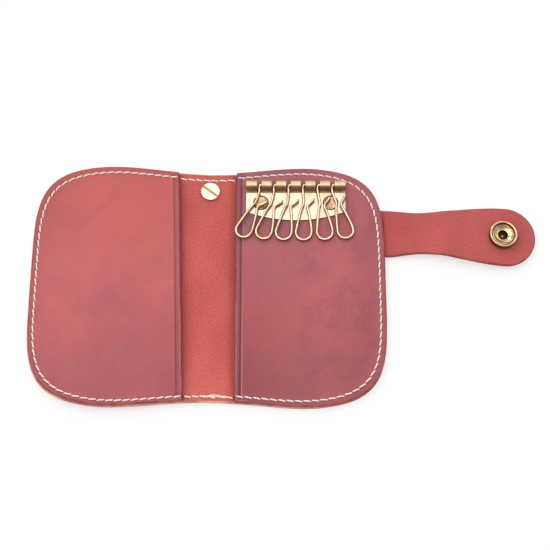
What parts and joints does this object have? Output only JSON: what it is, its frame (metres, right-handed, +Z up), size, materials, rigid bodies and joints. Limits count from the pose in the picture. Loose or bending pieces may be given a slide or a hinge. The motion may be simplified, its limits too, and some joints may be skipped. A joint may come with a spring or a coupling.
{
  "type": "keychain card holder",
  "caption": "Leather key and card holder that folds shut round a brass plate of swinging wire key hooks, with a card pocket in each cover and a strap that snaps closed.",
  "frame": {"origin": "middle of the right cover's outer face, which lies on the table", "axes": "+X from the spine towards the closing strap, +Y towards the end with the key plate, +Z up out of the open inside"},
  "size_m": [0.2189, 0.1094, 0.0096],
  "materials": {
    "smooth_leather": "smooth waxed burgundy leather, mottled, with a soft gloss",
    "shell_leather": "matt red flesh side inside, smooth outside, burnished edges",
    "sewing_thread": "waxed cream thread",
    "plate_brass": "satin pale brass",
    "rivet_brass": "coppery brass",
    "wire_brass": "drawn brass wire, satin",
    "snap_brass": "polished antique brass"
  },
  "bodies": {
    "right_body": {"right_cover": "shell_leather", "right_pocket_panel": "smooth_leather", "seam_thread_right": "sewing_thread", "key_plate": "plate_brass", "plate_rivet_left": "rivet_brass", "plate_rivet_right": "rivet_brass", "rivet_washer_left": "plate_brass", "rivet_washer_right": "plate_brass"},
    "spine_body": {"spine": "shell_leather", "seam_thread_spine_top": "sewing_thread", "seam_thread_spine_bottom": "sewing_thread", "spine_screw": "plate_brass", "screw_post": "plate_brass"},
    "left_body": {"left_cover": "shell_leather", "left_pocket_panel": "smooth_leather", "seam_thread_left": "sewing_thread", "snap_stud": "snap_brass", "stud_eyelet": "snap_brass"},
    "strap_neck_body": {"strap_neck": "shell_leather"},
    "strap_end_body": {"strap_end": "shell_leather", "snap_socket": "snap_brass", "snap_cap": "snap_brass"},
    "hook_1_body": {"key_hook_1": "wire_brass"},
    "hook_2_body": {"key_hook_2": "wire_brass"},
    "hook_3_body": {"key_hook_3": "wire_brass"},
    "hook_4_body": {"key_hook_4": "wire_brass"},
    "hook_5_body": {"key_hook_5": "wire_brass"},
    "hook_6_body": {"key_hook_6": "wire_brass"}
  },
  "joints": [
    {"name": "right_fold", "type": "hinge", "parent": "right_body", "child": "spine_body", "pos_m": [-0.03365, 0, 0.002], "axis": [0, 1, 0], "range_deg": [0, 86.92]},
    {"name": "left_fold", "type": "hinge", "parent": "spine_body", "child": "left_body", "pos_m": [-0.05222, 0, 0.003], "axis": [0, 1, 0], "range_deg": [0, 90]},
    {"name": "strap_root_bend", "type": "hinge", "parent": "right_body", "child": "strap_neck_body", "pos_m": [0.03465, 0, 0.002], "axis": [0, -1, 0], "range_deg": [0, 81]},
    {"name": "strap_crest_bend", "type": "hinge", "parent": "strap_neck_body", "child": "strap_end_body", "pos_m": [0.05934, 0, 0.00591], "axis": [0, -1, 0], "range_deg": [0, 102.63]},
    {"name": "hook_1_swing", "type": "hinge", "parent": "right_body", "child": "hook_1_body", "pos_m": [-0.0212, 0.0446, 0.0076], "axis": [-1, 0, 0], "range_deg": [0, 170]},
    {"name": "hook_2_swing", "type": "hinge", "parent": "right_body", "child": "hook_2_body", "pos_m": [-0.01478, 0.0446, 0.0076], "axis": [-1, 0, 0], "range_deg": [0, 170]},
    {"name": "hook_3_swing", "type": "hinge", "parent": "right_body", "child": "hook_3_body", "pos_m": [-0.00836, 0.0446, 0.0076], "axis": [-1, 0, 0], "range_deg": [0, 170]},
    {"name": "hook_4_swing", "type": "hinge", "parent": "right_body", "child": "hook_4_body", "pos_m": [-0.00194, 0.0446, 0.0076], "axis": [-1, 0, 0], "range_deg": [0, 170]},
    {"name": "hook_5_swing", "type": "hinge", "parent": "right_body", "child": "hook_5_body", "pos_m": [0.00448, 0.0446, 0.0076], "axis": [-1, 0, 0], "range_deg": [0, 170]},
    {"name": "hook_6_swing", "type": "hinge", "parent": "right_body", "child": "hook_6_body", "pos_m": [0.0109, 0.0446, 0.0076], "axis": [-1, 0, 0], "range_deg": [0, 170]}
  ]
}
